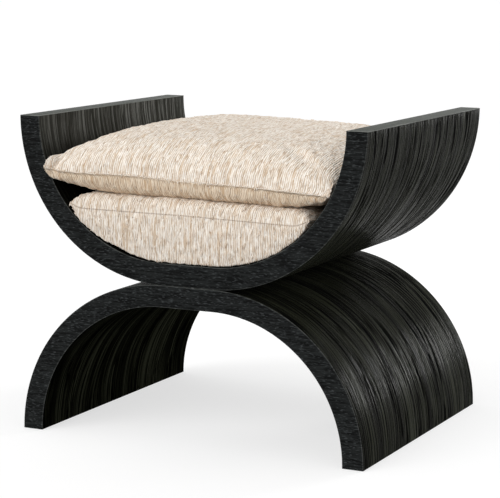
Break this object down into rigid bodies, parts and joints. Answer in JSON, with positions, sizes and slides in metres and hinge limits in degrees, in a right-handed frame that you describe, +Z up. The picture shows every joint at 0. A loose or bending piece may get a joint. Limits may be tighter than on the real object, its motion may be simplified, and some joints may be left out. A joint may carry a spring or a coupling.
{
  "type": "footstool",
  "caption": "X-profile footstool of bent black oak shells set back to back; the upper shell cradles a loose half-round cushion and a loose pillow.",
  "frame": {"origin": "on the floor under the middle of the stool", "axes": "+X across the stool from arm to arm, +Y from its front to its back where the zips are, +Z up"},
  "size_m": [0.62, 0.51, 0.53],
  "materials": {
    "black_oak_veneer": "satin",
    "bending_plywood": "matte",
    "core_wood": "matte",
    "zinc_steel": "satin",
    "grey_felt": "matte",
    "cushion_filling": "matte",
    "cream_cloth": "matte",
    "zip_tape": "matte",
    "zip_coil": "satin",
    "zip_metal": "satin"
  },
  "bodies": {
    "frame": {"base_outer_veneer": "black_oak_veneer", "base_inner_veneer": "black_oak_veneer", "base_front_edge_veneer": "black_oak_veneer", "base_rear_edge_veneer": "black_oak_veneer", "base_outer_skin": "bending_plywood", "base_inner_skin": "bending_plywood", "base_front_rib": "core_wood", "base_rear_rib": "core_wood", "base_middle_rib": "core_wood", "base_joint_blocks": "core_wood", "cradle_outer_veneer": "black_oak_veneer", "cradle_inner_veneer": "black_oak_veneer", "cradle_front_edge_veneer": "black_oak_veneer", "cradle_rear_edge_veneer": "black_oak_veneer", "cradle_outer_skin": "bending_plywood", "cradle_inner_skin": "bending_plywood", "cradle_front_rib": "core_wood", "cradle_rear_rib": "core_wood", "cradle_middle_rib": "core_wood", "cradle_joint_blocks": "core_wood", "foot_rails": "core_wood", "arm_rails": "core_wood", "arm_top_veneers": "black_oak_veneer", "joint_screws": "zinc_steel", "foot_felts": "grey_felt"},
    "lower_cushion": {"lower_cushion_foam": "cushion_filling", "lower_cushion_top_panel": "cream_cloth", "lower_cushion_front_panel": "cream_cloth", "lower_cushion_rear_panel": "cream_cloth", "lower_cushion_underside_panel": "cream_cloth", "lower_zip_tapes": "zip_tape", "lower_zip_coil": "zip_coil"},
    "top_cushion": {"top_cushion_filling": "cushion_filling", "top_cushion_upper_cover": "cream_cloth", "top_cushion_lower_cover": "cream_cloth", "top_zip_tapes": "zip_tape", "top_zip_coil": "zip_coil"},
    "lower_zip_slider": {"lower_zip_slider": "zip_metal"},
    "lower_zip_pull": {"lower_zip_pull": "zip_metal"},
    "top_zip_slider": {"top_zip_slider": "zip_metal"},
    "top_zip_pull": {"top_zip_pull": "zip_metal"}
  },
  "joints": [
    {"name": "lower_cushion_lift", "type": "slide", "parent": "frame", "child": "lower_cushion", "axis": [0, 0, 1], "range_m": [0, 0.24]},
    {"name": "top_cushion_lift", "type": "slide", "parent": "lower_cushion", "child": "top_cushion", "axis": [0, 0, 1], "range_m": [0, 0.15]},
    {"name": "lower_zip_run", "type": "slide", "parent": "lower_cushion", "child": "lower_zip_slider", "axis": [-1, 0, 0], "range_m": [0, 0.2956]},
    {"name": "lower_zip_pull_swing", "type": "hinge", "parent": "lower_zip_slider", "child": "lower_zip_pull", "pos_m": [0.1478, 0.25245, 0.3548], "axis": [0, 0, -1], "range_deg": [0, 170]},
    {"name": "top_zip_run", "type": "slide", "parent": "top_cushion", "child": "top_zip_slider", "axis": [-1, 0, 0], "range_m": [0, 0.4338]},
    {"name": "top_zip_pull_swing", "type": "hinge", "parent": "top_zip_slider", "child": "top_zip_pull", "pos_m": [0.21691, 0.25245, 0.4381], "axis": [0, 0, -1], "range_deg": [0, 170]}
  ]
}
